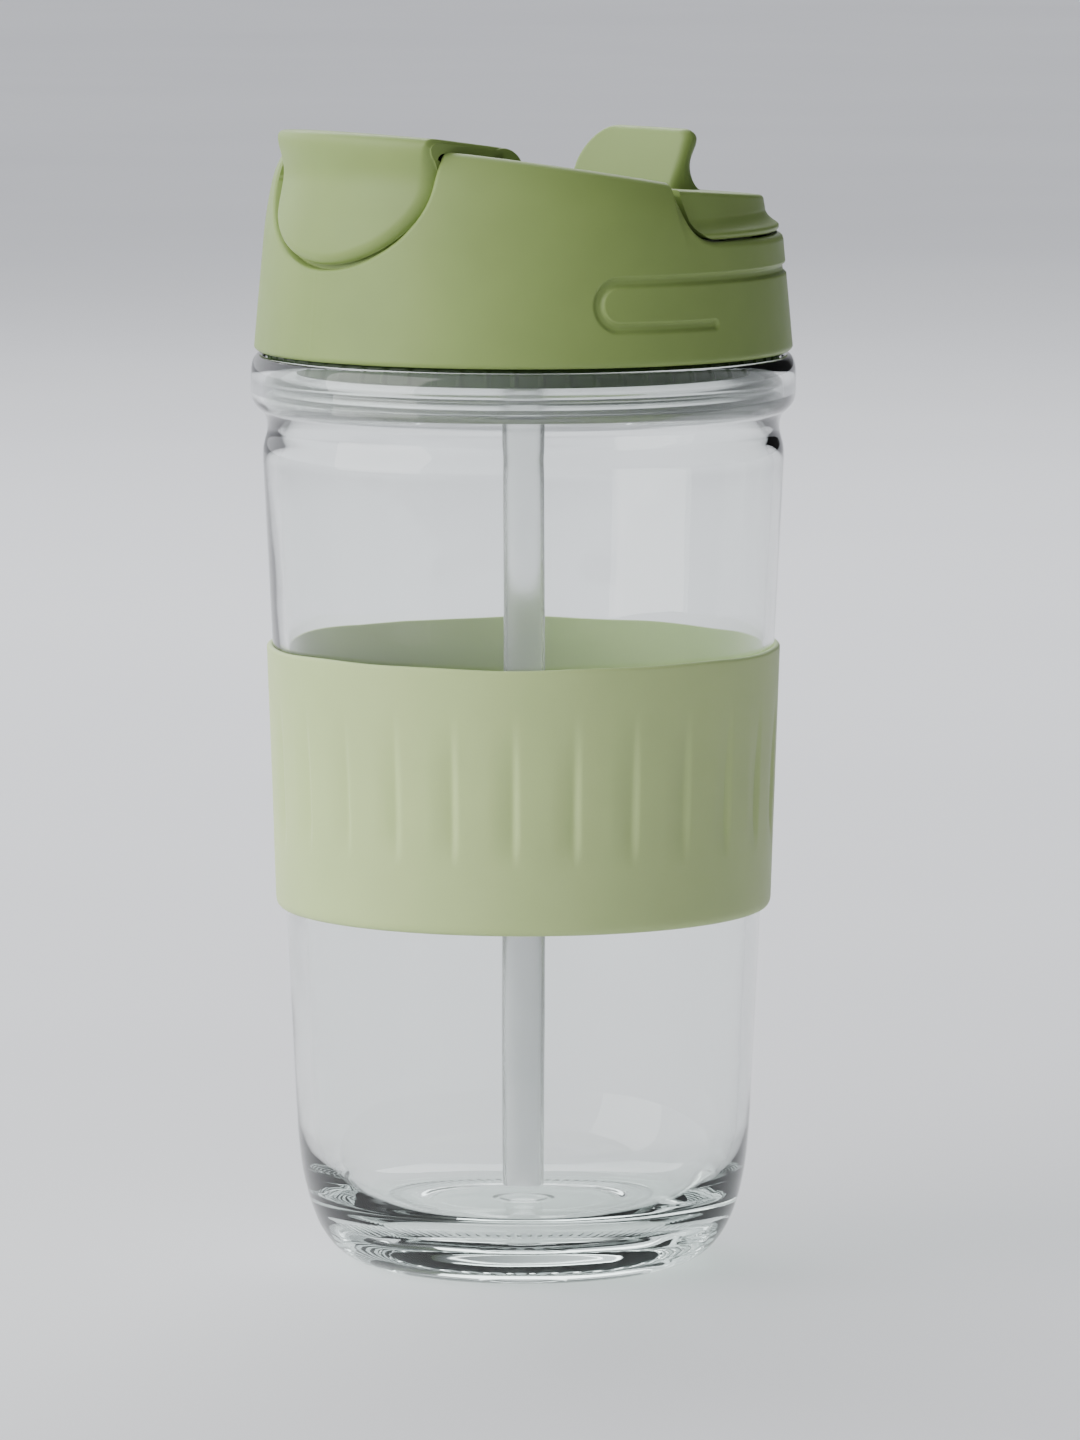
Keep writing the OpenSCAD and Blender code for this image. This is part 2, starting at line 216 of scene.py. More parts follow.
def relief(link, add, shader, source, depth, before=None):
    """A bump of a real depth in metres."""
    bump = add("ShaderNodeBump", Strength=1.0, Distance=depth)
    link(source, bump.inputs["Height"])
    if before:
        link(before, bump.inputs["Normal"])
    link(bump.outputs["Normal"], shader.inputs["Normal"])
    return bump.outputs["Normal"]


def lets_light_by(finish, link, shader, add, colour):
    """Lets light from the lamps through a clear material onto what stands behind it."""
    mix = add("ShaderNodeMixShader")
    path = add("ShaderNodeLightPath")
    clear = add("ShaderNodeBsdfTransparent", Color=(*colour, 1))
    link(path.outputs["Is Shadow Ray"], mix.inputs[0])
    link(shader.outputs["BSDF"], mix.inputs[1])
    link(clear.outputs["BSDF"], mix.inputs[2])
    link(mix.outputs["Shader"], finish.node_tree.nodes["Material Output"].inputs["Surface"])


def glass_finish():
    finish, link, shader, add = new_finish("clear_glass")
    shader.inputs["Transmission Weight"].default_value = 1.0
    shader.inputs["IOR"].default_value = 1.5
    smears = grain(link, add, 22, 3)
    link(ramp(link, add, smears.outputs["Fac"], (0.965, 0.985, 0.975), (0.99, 1.0, 0.995)),
         shader.inputs["Base Color"])
    link(value_range(link, add, smears.outputs["Fac"], 0.0, 0.03), shader.inputs["Roughness"])
    relief(link, add, shader, grain(link, add, 55, 1).outputs["Fac"], 0.00008)
    lets_light_by(finish, link, shader, add, (0.93, 0.96, 0.945))
    tint = add("ShaderNodeVolumeAbsorption", Color=(0.70, 0.92, 0.82, 1), Density=7.0)
    link(tint.outputs["Volume"], finish.node_tree.nodes["Material Output"].inputs["Volume"])
    return finish


def wall_r(z):
    """Outer radius of the leaning wall."""
    return HEEL_R + (z - HEEL_H) * (SHOULDER_R - HEEL_R) / (SHOULDER_H - HEEL_H)


def pressed(r, z, phi):
    """Small marks in the foot ring, and the slight waviness of a pressed inner wall."""
    inside = (r < wall_r(np.maximum(z, HEEL_H)) - 1.2) & (z > FLOOR_H - 0.2) & (z < 131)
    wave = 0.07 * np.sin(2 * phi + 0.6) + 0.05 * np.sin(5 * phi + 1.9) + 0.03 * np.sin(9 * phi + z / 19)
    r = np.where(inside & (r > 20), r + wave, r)
    ring = np.exp(-((r - 21.6) / 0.9) ** 2) * (z < 0.5)
    dash = np.clip(np.sin(84 * phi) * 3, 0, 1)
    mark = np.exp(-((r - 4.2) / 0.5) ** 2) * (z < 2)
    return r, z + 0.3 * ring * dash + 0.35 * mark


crown = [(41.1 + (BEAD_R - 41.1) * math.cos(a), MOUTH_H - 3 + 3 * math.sin(a))
         for a in np.linspace(0, math.pi / 2, 10)]
outside = (straight((0, 0.9), (14, 0.9), 30) + bend((14, 0.9), (16, 0.9), (16.4, 0), (18.4, 0), 8)
           + straight((18.4, 0), (FOOT_R - 0.6, 0), 16)
           + bend((FOOT_R - 0.6, 0), (31.6, 0.3), (HEEL_R - 0.7, 9), (HEEL_R, HEEL_H), 30)
           + straight((HEEL_R, HEEL_H), (SHOULDER_R, SHOULDER_H), 14)
           + bend((SHOULDER_R, SHOULDER_H), (40.85, 129.4), (39.75, 129.6), (39.95, 132), 10)
           + bend((39.95, 132), (40.1, 134.6), (42.4, 133.9), (BEAD_R, 137), 12) + crown)
inside = (bend(crown[-1], (40.7, MOUTH_H), (POCKET_R, MOUTH_H - 0.3), (POCKET_R, MOUTH_H - 1.1), 6)
          + straight((POCKET_R, MOUTH_H - 1.1), (POCKET_R, 136), 4)
          + bend((POCKET_R, 136), (POCKET_R, 134.5), (38.5, 134.6), (38.3, 131.6), 12)
          + bend((38.3, 131.6), (38.2, 130), (38.5, 129), (SHOULDER_R - GLASS_T, SHOULDER_H), 6)
          + straight((SHOULDER_R - GLASS_T, SHOULDER_H), (HEEL_R - GLASS_T, HEEL_H), 14)
          + bend((HEEL_R - GLASS_T, HEEL_H), (32.4, 12), (29, FLOOR_H + 0.5), (17, FLOOR_H), 24)
          + straight((17, FLOOR_H), (0, FLOOR_H), 6))
tumbler = turn("tumbler_glass", outside + inside, 504, "tumbler", "glass_tumbler", shape=pressed)
tumbler.data.materials.append(glass_finish())

# ---- Sleeve -------------------------------------------------------------------------------
# A band of moulded silicone, stretched over the wall and held by its own grip. Short flutes
# for the fingers run round it, each with one crisp edge and one that fades out.
SLEEVE_LOW, SLEEVE_HIGH = (corner.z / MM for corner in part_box("silicone_sleeve"))
SLEEVE_LOW_R, SLEEVE_HIGH_R = 38.7, 40.1
FLUTES = 26
FLUTE_DEPTH = 0.62
SAGE = (0.44, 0.545, 0.225)


def silicone_finish():
    finish, link, shader, add = new_finish("green_silicone")
    cloud = grain(link, add, 28, 3)
    link(ramp(link, add, cloud.outputs["Fac"], tuple(0.95 * c for c in SAGE), tuple(1.05 * c for c in SAGE)),
         shader.inputs["Base Color"])
    link(value_range(link, add, grain(link, add, 240, 3).outputs["Fac"], 0.46, 0.60),
         shader.inputs["Roughness"])
    shader.inputs["IOR"].default_value = 1.43
    shader.inputs["Sheen Weight"].default_value = 0.12
    shader.inputs["Sheen Roughness"].default_value = 0.5
    shader.inputs["Subsurface Weight"].default_value = 0.12
    shader.inputs["Subsurface Radius"].default_value = (0.002, 0.002, 0.001)
    shader.inputs["Subsurface Scale"].default_value = 0.5
    fine = relief(link, add, shader, grain(link, add, 3200, 2).outputs["Fac"], 0.000012)
    relief(link, add, shader, grain(link, add, 90, 2).outputs["Fac"], 0.00005, fine)
    return finish


def fluted(r, z, phi):
    """Cuts the flutes into the outer face, deepest two thirds of the way down."""
    outer = r > wall_r(z) + 0.35
    pitch = 2 * math.pi / FLUTES
    across = (phi / pitch + 0.39) % 1.0
    fall = np.clip((across - 0.42) / 0.42, 0, 1) ** 1.7 * (across < 0.84)
    rise = np.clip((1.0 - (across - 0.84) / 0.10), 0, 1) ** 1.3 * (across >= 0.84)
    along = np.clip((z - 66.5) / 6.5, 0, 1) * np.clip((91 - z) / 15.5, 0, 1)
    along = np.sin(along * math.pi / 2) ** 1.4
    ripple = 0.12 * np.sin(5 * phi + 0.7) + 0.07 * np.sin(11 * phi + 2.0)
    z = z + ripple * np.clip((z - SLEEVE_HIGH + 3) / 3, 0, 1)
    return r - outer * FLUTE_DEPTH * (fall + rise) * along, z


def sleeve_r(z):
    share = (z - SLEEVE_LOW) / (SLEEVE_HIGH - SLEEVE_LOW)
    return SLEEVE_LOW_R + share * (SLEEVE_HIGH_R - SLEEVE_LOW_R)


top_in, low_in = wall_r(SLEEVE_HIGH) + 0.04, wall_r(SLEEVE_LOW) + 0.04
sleeve_line = (straight((low_in, SLEEVE_HIGH - 0.4), (low_in, SLEEVE_LOW + 0.3), 2)[1:]
               + bend((low_in + 0.2, SLEEVE_LOW), (sleeve_r(SLEEVE_LOW) - 0.5, SLEEVE_LOW),
                      (sleeve_r(SLEEVE_LOW), SLEEVE_LOW + 0.4),
                      (sleeve_r(SLEEVE_LOW + 1.6), SLEEVE_LOW + 1.6), 8)
               + straight((sleeve_r(SLEEVE_LOW + 1.6), SLEEVE_LOW + 1.6),
                          (sleeve_r(SLEEVE_HIGH - 0.6), SLEEVE_HIGH - 0.6), 76)
               + bend((sleeve_r(SLEEVE_HIGH - 0.6), SLEEVE_HIGH - 0.6), (SLEEVE_HIGH_R, SLEEVE_HIGH - 0.1),
                      (top_in + 0.4, SLEEVE_HIGH), (top_in, SLEEVE_HIGH - 0.15), 8)
               + straight((top_in, SLEEVE_HIGH - 0.3), (low_in, SLEEVE_LOW + 0.5), 10))
sleeve = turn("grip_sleeve", sleeve_line, 26 * 26, "tumbler", "silicone_sleeve", shape=fluted, closed=True)
sleeve.data.materials.append(silicone_finish())

# ---- Collar -------------------------------------------------------------------------------
# A ring of the lid's green polypropylene pressed up into the shell. Its colour is painted
# shade: darkened far below the lid's green for the shadow it sits in. Its flange shows through
# the mouth of the glass, with sixty fine grip ribs standing on it.
COLLAR_R = 39.6
FLANGE_LOW, FLANGE_HIGH = 140.2, 143.2
RIBS = 60
# painted shade: the lid's sage polypropylene darkened to stand for the shadow inside the lid
COLLAR_GREEN_WITH_PAINTED_SHADE = (0.026, 0.05, 0.012)


def plastic_finish(name, colour, gloss):
    """Satin moulded polypropylene: faint flow clouds, fine orange peel, uneven gloss."""
    finish, link, shader, add = new_finish(name)
    cloud = grain(link, add, 36, 3)
    darker = tuple(0.94 * c for c in colour)
    lighter = tuple(1.06 * c for c in colour)
    link(ramp(link, add, cloud.outputs["Fac"], darker, lighter), shader.inputs["Base Color"])
    link(value_range(link, add, grain(link, add, 180, 3).outputs["Fac"], gloss - 0.05, gloss + 0.08),
         shader.inputs["Roughness"])
    shader.inputs["IOR"].default_value = 1.49
    shader.inputs["Specular IOR Level"].default_value = 0.28
    shader.inputs["Subsurface Weight"].default_value = 0.1
    shader.inputs["Subsurface Radius"].default_value = (0.0012, 0.0016, 0.0006)
    shader.inputs["Subsurface Scale"].default_value = 0.6
    fine = relief(link, add, shader, grain(link, add, 2600, 2).outputs["Fac"], 0.000006)
    relief(link, add, shader, grain(link, add, 70, 1).outputs["Fac"], 0.00004, fine)
    return finish


def ribbed(r, z, phi):
    """Stands the grip ribs on the flange."""
    rib = np.clip(np.cos(phi * RIBS) * 5 - 3.6, 0, 1)
    band = (r > COLLAR_R - 0.05) & (z > FLANGE_LOW + 0.2) & (z < FLANGE_HIGH - 0.1)
    return r + 0.28 * rib * band, z


collar_line = ([(36.05, FLANGE_LOW), (36.4, FLANGE_LOW)] + straight((38.9, FLANGE_LOW), (39.3, FLANGE_LOW), 2)
               + bend((39.3, FLANGE_LOW), (39.5, FLANGE_LOW),
                      (COLLAR_R, FLANGE_LOW + 0.1), (COLLAR_R, FLANGE_LOW + 0.3), 5)
               + straight((COLLAR_R, FLANGE_LOW + 0.35), (COLLAR_R, FLANGE_HIGH - 0.2), 8)
               + [(39.5, FLANGE_HIGH), (39.25, FLANGE_HIGH + 0.2), (39.2, 146), (37.6, 147), (37.6, 157.9),
                  (36.05, 157.9), (36.05, 150)])
collar = turn("ribbed_collar", collar_line, 960, "lid", "lid_collar", shape=ribbed, closed=True)
# the collar's finish is the lid's plastic with painted shade, darkened for the shadow it sits in
collar.data.materials.append(plastic_finish("dark_green_plastic", COLLAR_GREEN_WITH_PAINTED_SHADE, 0.36))

# ---- Seal ---------------------------------------------------------------------------------
# A clear silicone ring pushed up inside the collar. Two thin lips on it wipe the pocket in
# the mouth of the glass, so it is soft, slightly milky and wet-looking.
SEAL_TIP = POCKET_R - 0.13


def clear_silicone_finish():
    finish, link, shader, add = new_finish("clear_silicone")
    cloud = grain(link, add, 60, 3)
    link(ramp(link, add, cloud.outputs["Fac"], (0.86, 0.89, 0.87), (0.95, 0.97, 0.96)),
         shader.inputs["Base Color"])
    link(value_range(link, add, cloud.outputs["Fac"], 0.12, 0.24), shader.inputs["Roughness"])
    shader.inputs["Transmission Weight"].default_value = 0.9
    shader.inputs["IOR"].default_value = 1.41
    relief(link, add, shader, grain(link, add, 400, 2).outputs["Fac"], 0.00001)
    lets_light_by(finish, link, shader, add, (0.85, 0.88, 0.86))
    return finish


soft_clear = clear_silicone_finish()
seal_line = ([(34.6, 146.9), (34.6, 135.7), (34.9, 135.35), (38.5, 135.35), (38.9, 135.5)]
             + bend((38.9, 135.5), (39.8, 135.9), (SEAL_TIP, 136.0), (SEAL_TIP, 136.4), 6)
             + bend((SEAL_TIP, 136.45), (SEAL_TIP, 136.8), (39.1, 136.8), (38.95, 137.1), 6)
             + [(38.92, 137.7)]
             + bend((38.95, 138.0), (39.6, 138.2), (SEAL_TIP, 138.3), (SEAL_TIP, 138.7), 6)
             + bend((SEAL_TIP, 138.75), (SEAL_TIP, 139.1), (39.1, 139.1), (38.95, 139.5), 6)
             + [(38.9, 140.0), (36.1, 140.1), (35.9, 140.3), (35.9, 146.7), (35.7, 146.95), (34.8, 146.95)])
seal = turn("seal_ring", seal_line, 300, "lid", "lid_seal_ring", closed=True)
seal.data.materials.append(soft_clear)

# ---- Lid shell ----------------------------------------------------------------------------
# The outer moulding of the lid in satin sage polypropylene. Its side leans in, its rim slopes
# up to the front, a shield-shaped bay is let into the front and the rear is cut away for the
# hatch. A shallow groove runs round the back and loops under itself at each side.
LID_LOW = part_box("lid_shell")[0].z / MM
LID_LOW_R = 42.0
LID_LEAN = 0.0909
LEDGE_H = 161.7
SHELL_T = 2.0
SLOPE = 0.165
RIM_H = 170.55
SHIELD_HALF, SHIELD_LOW, SHIELD_ROUND = 18.2, 158.2, 12.8
GAP = 0.7
LID_GREEN = (0.218, 0.298, 0.088)
lid_plastic = plastic_finish("green_plastic", LID_GREEN, 0.40)


def lid_r(z):
    """Outer radius of the lid's side."""
    return LID_LOW_R - LID_LEAN * (z - LID_LOW) - 0.0078 * np.maximum(0, z - 161) ** 2


REAR_CUT = ([(-2.6, 171.5), (-2.2, 169.6), (-1.65, 167.9)]
            + bend((-1.65, 167.9), (-1.1, 166.2), (-0.6, 164.9), (0.6, 163.7), 8)
            + bend((0.6, 163.7), (1.9, 162.4), (3.4, 161.75), (6.5, LEDGE_H), 8) + [(60, LEDGE_H)])


def rim_height(y):
    """Height of the shell's edge at a depth y: the slope, then the rear cut and the ledge."""
    cut_y, cut_z = np.array(tidy_line(REAR_CUT)).T
    slope = RIM_H - SLOPE * y
    cut = np.interp(y, cut_y, cut_z)
    both = np.where(y < -2.6, slope, np.minimum(slope, cut))
    return both


def shield_edge(x, z, grow):
    """How far a point of the front view is inside the shield that the lip fills."""
    half, tall = SHIELD_HALF + grow, SHIELD_ROUND + grow
    x, down = np.abs(x), SHIELD_LOW + SHIELD_ROUND - z
    ring = np.hypot(x / half, down / tall)
    slope = np.maximum(np.hypot(x / half ** 2, down / tall ** 2), 1e-6)
    return np.where(down > 0, (1 - ring) * ring / slope, half - x)


GROOVE_HIGH, GROOVE_LOW = 156.3, 149.3
GROOVE_START, GROOVE_END = math.radians(71), math.radians(95)


def groove_distance(phi, z, r):
    """Distance along the surface from the middle line of the decorative groove."""
    side = np.abs(phi)
    along = (side - GROOVE_START) * r
    loop_r = (GROOVE_HIGH - GROOVE_LOW) / 2
    middle = (GROOVE_HIGH + GROOVE_LOW) / 2
    high_line = np.where(along > 0, np.abs(z - GROOVE_HIGH), 99)
    end = (GROOVE_END - GROOVE_START) * r
    low_line = np.where(along > 0, np.hypot(np.maximum(0, along - end), z - GROOVE_LOW), 99)
    loop = np.where(along <= 0, np.abs(np.hypot(along, z - middle) - loop_r), 99)
    return np.minimum(np.minimum(high_line, low_line), loop)


def spread(edges, gaps):
    """Sorted numbers between the edges, each stretch with its own largest step."""
    parts = [np.linspace(a, b, max(2, int(math.ceil((b - a) / gap)) + 1))
             for a, b, gap in zip(edges, edges[1:], gaps)]
    return np.unique(np.round(np.concatenate(parts), 6))


def snapped(f, x, z):
    """Moves the grid points next to a boundary, where f is 0, exactly onto it."""
    f, x, z = f.copy(), x.copy(), z.copy()
    rows, columns = f.shape
    for di, dj in ((0, 1), (1, 0)):
        a, b = f[:rows - di, :columns - dj], f[di:, dj:]
        for i, j in zip(*np.nonzero(a * b < 0)):
            near, far = (i, j), (i + di, j + dj)
            if abs(f[near]) > abs(f[far]):
                near, far = far, near
            if f[near] * f[far] >= 0:
                continue
            t = f[near] / (f[near] - f[far])
            x[near] += (x[far] - x[near]) * t
            z[near] += (z[far] - z[near]) * t
            f[near] = 0
    return f, x, z


def kept_faces(f, wrap):
    """Faces of a grid where f isn't negative, cut into triangles along the boundary."""
    rows, columns = f.shape
    flat = f.ravel()
    faces = []
    for face in net(rows, columns, False, wrap):
        kept = [k for k in face if flat[k] >= 0]
        if len(kept) < 3 or max(flat[k] for k in face) <= 0:
            continue
        faces.append(tuple(kept))
    return faces


def sheet(outer, inner, faces):
    """Points and faces of a closed sheet between two copies of a surface."""
    outer, inner = np.asarray(outer).reshape(-1, 3), np.asarray(inner).reshape(-1, 3)
    count = len(outer)
    sides = {}
    for face in faces:
        for a, b in zip(face, face[1:] + face[:1]):
            sides[(a, b)] = 1
    walls = [(b, a, a + count, b + count) for a, b in sides if (b, a) not in sides]
    back = [tuple(k + count for k in reversed(face)) for face in faces]
    return np.concatenate([outer, inner]), list(faces) + back + walls


def joined(*solids):
    """Several solids as the points and faces of one mesh."""
    points, faces = [], []
    for solid_points, solid_faces in solids:
        shift = sum(len(p) for p in points)
        points.append(np.asarray(solid_points).reshape(-1, 3))
        faces += [tuple(k + shift for k in face) for face in solid_faces]
    return np.concatenate(points), faces


def rounded(inside, radius, least=0.12):
    """Share of a sheet's thickness left at a distance inside its rounded border."""
    t = 1 - np.clip(inside, 0, radius) / radius
    return np.maximum(least, np.sqrt(np.maximum(0, 1 - t * t)))


def finish_edges(piece, degrees=42):
    """Outward faces, and crisp corners only where the moulding has them."""
    clean_normals(piece)
    piece.data.set_sharp_from_angle(angle=math.radians(degrees))


lid_columns = np.radians(spread([-180, -98, -84, -64, -34, -24, 24, 34, 64, 84, 98, 180],
                                [1.2, 0.3, 0.25, 1.0, 0.3, 0.4, 0.3, 1.0, 0.25, 0.3, 1.2])[:-1])
low_rows = spread([LID_LOW, LID_LOW + 0.6, 147.2, 158.6, 160.4], [0.12, 0.4, 0.17, 0.3])
high_rows = 1 - (1 - np.linspace(0, 1, 76)[1:]) ** 1.15
phi = np.repeat(lid_columns[None], len(low_rows) + len(high_rows), 0)
top = np.full(len(lid_columns), 172.0)
for _ in range(30):
    top = 0.5 * top + 0.5 * rim_height(-lid_r(top) * np.cos(lid_columns))
low_z = np.repeat(low_rows[:, None], len(lid_columns), 1)
high_z = low_rows[-1] + (top[None] - low_rows[-1]) * high_rows[:, None]
z = np.concatenate([low_z, high_z])
front = np.abs(phi) < 1.2
bay = np.where(front, -shield_edge(lid_r(z) * np.sin(phi), z, GAP), 9.0)
near_bay, new_phi, new_z = snapped(bay, phi, z)
moved = near_bay != bay
phi, z = np.where(moved, new_phi, phi), np.where(moved, new_z, z)

under_rim = top[None] - z
full_height = np.clip((top[None] - 162) / 7.5, 0, 1) ** 1.5
lean_in = (np.clip(6 - under_rim, 0, 6) / 6) ** 2.3
small_edge = (np.clip(1.2 - under_rim, 0, 1.2) / 1.2) ** 2
r = lid_r(z) - 1.25 * lean_in * full_height - 0.25 * small_edge * (1 - full_height)
r = r - 0.55 * (1 - np.clip(z - LID_LOW, 0, 0.7) / 0.7) ** 2
groove = groove_distance(phi, z, r)
hollow = np.clip((0.95 - groove) / 0.62, 0, 1)
r = r - 0.52 * hollow * hollow * (3 - 2 * hollow)
r = r - 0.35 * (1 - np.clip(near_bay, 0, 0.5) / 0.5) ** 2
seam = np.exp(-(np.clip(np.abs(phi + 0.018) * r, 0, 3) / 0.16) ** 2) * (z < 161)
r = r + 0.05 * seam
inner_r = np.minimum(r - 0.3, lid_r(z) - SHELL_T - lean_in * full_height)
round_over = np.sqrt(np.maximum(0, 1 - (1 - np.clip(under_rim, 0, 0.8) / 0.8) ** 2))
middle_r = (r + inner_r) / 2
outer_r = middle_r + (r - middle_r) * np.maximum(0.3, round_over)
inside_r = middle_r + (inner_r - middle_r) * np.maximum(0.3, round_over)
wall = sheet(np.stack([outer_r * np.sin(phi), -outer_r * np.cos(phi), z], -1),
             np.stack([inside_r * np.sin(phi), -inside_r * np.cos(phi), z], -1),
             kept_faces(near_bay, True))


def lip_out(z):
    """Outer radius of the flap's lip: proud below, scooped for a fingertip above."""
    marks = [158, 161, 164.5, 165.8, 167, 168.3, 169.5, 170.8, 172, 173.3, 174.5, 175.7, 177]
    radii = [41.35, 41.1, 40.3, 39.8, 39.3, 38.85, 38.45, 38.18, 38.12, 38.3, 38.62, 38.85, 38.9]
    return sum(np.interp(z + step, marks, radii) for step in np.linspace(-1.2, 1.2, 9)) / 9


# the wall behind the lip, sunk into the bay and low enough for the lip to swing over it
LIP_T = 1.8
BACK_GAP, BACK_T = 0.5, 1.3
back_x = np.linspace(-SHIELD_HALF - 1.9, SHIELD_HALF + 1.9, 90)
back_z = np.linspace(156.2, 170.9, 50)
x, z = np.meshgrid(back_x, back_z)
back_r = lip_out(np.maximum(z, 158)) - LIP_T - BACK_GAP
depth = shield_edge(x, z, 2.1)
depth, x, z = snapped(depth, x, z)
half = BACK_T / 2 * rounded(170.9 - z, 0.6, 0.2)
u_out = np.sqrt((back_r - BACK_T / 2 + half) ** 2 - x * x)
u_in = np.sqrt((back_r - BACK_T / 2 - half) ** 2 - x * x)
back_wall = sheet(np.stack([x, -u_out, z], -1), np.stack([x, -u_in, z], -1), kept_faces(depth, False))
points, faces = joined(wall, back_wall)
shell = make_piece("lid_shell_moulding", points, faces, "lid", "lid_shell")
finish_edges(shell)
shell.data.materials.append(lid_plastic)

# ---- Lid deck -----------------------------------------------------------------------------
# The inner moulding, welded into the shell: a table with the sipping spout, the hinge seats
# and the channel for the hatch. Same polypropylene. The two pins are drawn stainless wire.


def dress(node, finish):
    """Gives a carried-over piece its finish."""
    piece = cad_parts[node]
    if not piece.material_slots:
        piece.data.materials.append(finish)
    for slot in piece.material_slots:
        slot.material = finish


def steel_finish():
    finish, link, shader, add = new_finish("drawn_steel")
    streaks = add("ShaderNodeTexNoise", Scale=1.0, Detail=3.0)
    place = add("ShaderNodeTexCoord")
    squeeze = add("ShaderNodeMapping")
    squeeze.inputs["Scale"].default_value = (120, 9000, 9000)
    link(place.outputs["Object"], squeeze.inputs["Vector"])
    link(squeeze.outputs["Vector"], streaks.inputs["Vector"])
    link(ramp(link, add, streaks.outputs["Fac"], (0.52, 0.53, 0.55), (0.68, 0.69, 0.71)),
         shader.inputs["Base Color"])
    link(value_range(link, add, streaks.outputs["Fac"], 0.18, 0.38), shader.inputs["Roughness"])
    shader.inputs["Metallic"].default_value = 1.0
    return finish


steel = steel_finish()
dress("lid_deck", lid_plastic)
dress("sip_flap_pin", steel)
dress("straw_hatch_pin", steel)

# ---- Straw and mouthpiece -----------------------------------------------------------------
# A frosted polypropylene straw that plugs up into a soft clear mouthpiece in the deck. Its
# cut ends are slightly rounded and it is a little cloudier than the silicone.
STRAW_R = 3.3
STRAW_T = 0.5
straw_low, straw_high = (corner.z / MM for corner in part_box("drinking_straw"))


def frosted_finish():
    finish, link, shader, add = new_finish("frosted_plastic")
    cloud = grain(link, add, 45, 3)
    link(ramp(link, add, cloud.outputs["Fac"], (0.90, 0.91, 0.91), (0.98, 0.98, 0.98)),
         shader.inputs["Base Color"])
    link(value_range(link, add, cloud.outputs["Fac"], 0.16, 0.30), shader.inputs["Roughness"])
    shader.inputs["Transmission Weight"].default_value = 0.94
    shader.inputs["IOR"].default_value = 1.22
    relief(link, add, shader, grain(link, add, 900, 2).outputs["Fac"], 0.00001)
    lets_light_by(finish, link, shader, add, (0.9, 0.91, 0.91))
    return finish


straw_line = ([(STRAW_R, straw_low + 0.12), (STRAW_R, straw_high - 0.12), (STRAW_R - 0.12, straw_high),
               (STRAW_R - STRAW_T + 0.12, straw_high), (STRAW_R - STRAW_T, straw_high - 0.12),
               (STRAW_R - STRAW_T, straw_low + 0.12), (STRAW_R - STRAW_T + 0.12, straw_low),
               (STRAW_R - 0.12, straw_low)])
straw = turn("straw", straw_line, 72, "lid", "drinking_straw", closed=True)
straw.data.materials.append(frosted_finish())
straw.data.set_sharp_from_angle(angle=math.radians(60))
dress("straw_mouthpiece", soft_clear)

# ---- Sipping flap -------------------------------------------------------------------------
# One moulding: a shield-shaped lip curved like the lid, rolled over at the top into a plate
# whose rear end is the hinge knuckle. The lip's border is rounded, its upper part is scooped
# for a fingertip, and a soft pad under the plate stops the spout.
PLATE_H, PLATE_SLOPE = 173.5, 0.137
PLATE_T = 1.8
PLATE_HALF = 18.4
KNUCKLE_R = 4.5
FLAP_PIN_U, FLAP_PIN_Z = 19.5, 171.6


def plate_top(u, drop=0.0):
    """Height of the plate's top, or of a surface at a depth under it."""
    return PLATE_H - 0.02 + PLATE_SLOPE * u - drop


across = np.sin(np.linspace(-math.pi / 2, math.pi / 2, 81))
turns = np.linspace(0.02, 1, 60) * math.pi / 2
lip_z = np.concatenate([SHIELD_LOW + SHIELD_ROUND * (1 - np.cos(turns)), np.linspace(171.3, 174.2, 12)])
lip_half = np.concatenate([SHIELD_HALF * np.sin(turns), np.full(12, SHIELD_HALF)])


def flap_rows(drop):
    """Rows of the flap's outer face, or of the face at a depth under it, from tip to knuckle."""
    rows = []
    for z0, half in zip(lip_z, lip_half):
        x = across * half
        rows.append((x, np.sqrt((lip_out(z0) - drop) ** 2 - x * x), np.full_like(x, z0)))
    x = across * SHIELD_HALF
    start_u = np.sqrt((lip_out(174.6) - drop) ** 2 - x * x)
    brim_u = np.sqrt((lip_out(177.0) + 0.15 - drop) ** 2 - x * x)
    level = plate_top(brim_u, drop)
    back_u = brim_u - 2.6
    for t in np.linspace(0, 1, 18):
        keep = [(1 - t) ** 3, 3 * t * (1 - t) ** 2, 3 * t * t * (1 - t), t ** 3]
        u = keep[0] * start_u + keep[1] * (brim_u + 0.1) + keep[2] * (brim_u + 0.25) + keep[3] * back_u
        w = keep[0] * 174.6 + keep[1] * (level - 1.6) + keep[2] * level + keep[3] * plate_top(back_u, drop)
        rows.append((x * (1 + (PLATE_HALF / SHIELD_HALF - 1) * t), u, w))
    for t in np.linspace(0, 1, 24)[1:]:
        u = back_u * (1 - t) + FLAP_PIN_U * t
        rows.append((across * PLATE_HALF, u, plate_top(u, drop)))
    return np.stack([np.stack([x, -u, w], -1) for x, u, w in rows])


outer = flap_rows(0)
inner = flap_rows(PLATE_T + 0.1)
border = np.abs(outer[:, :, 0]).max(1)[:, None] - np.abs(outer[:, :, 0])
border = np.where(outer[:, :, 2] < 171, shield_edge(outer[:, :, 0], outer[:, :, 2], 0), border)
row_z = outer[:, 40, 2] * (np.arange(len(outer)) < 80) + 999 * (np.arange(len(outer)) >= 80)
reach = np.interp(row_z, [172, 178], [2.0, 0.5])[:, None]
least = np.interp(row_z, [172, 178], [0.25, 0.7])[:, None]
left = np.stack([rounded(border, reach, least)] * 3, -1)
outer = inner + (outer - inner) * left
flap_skin = sheet(outer, inner, net(outer.shape[0], outer.shape[1], False, False))


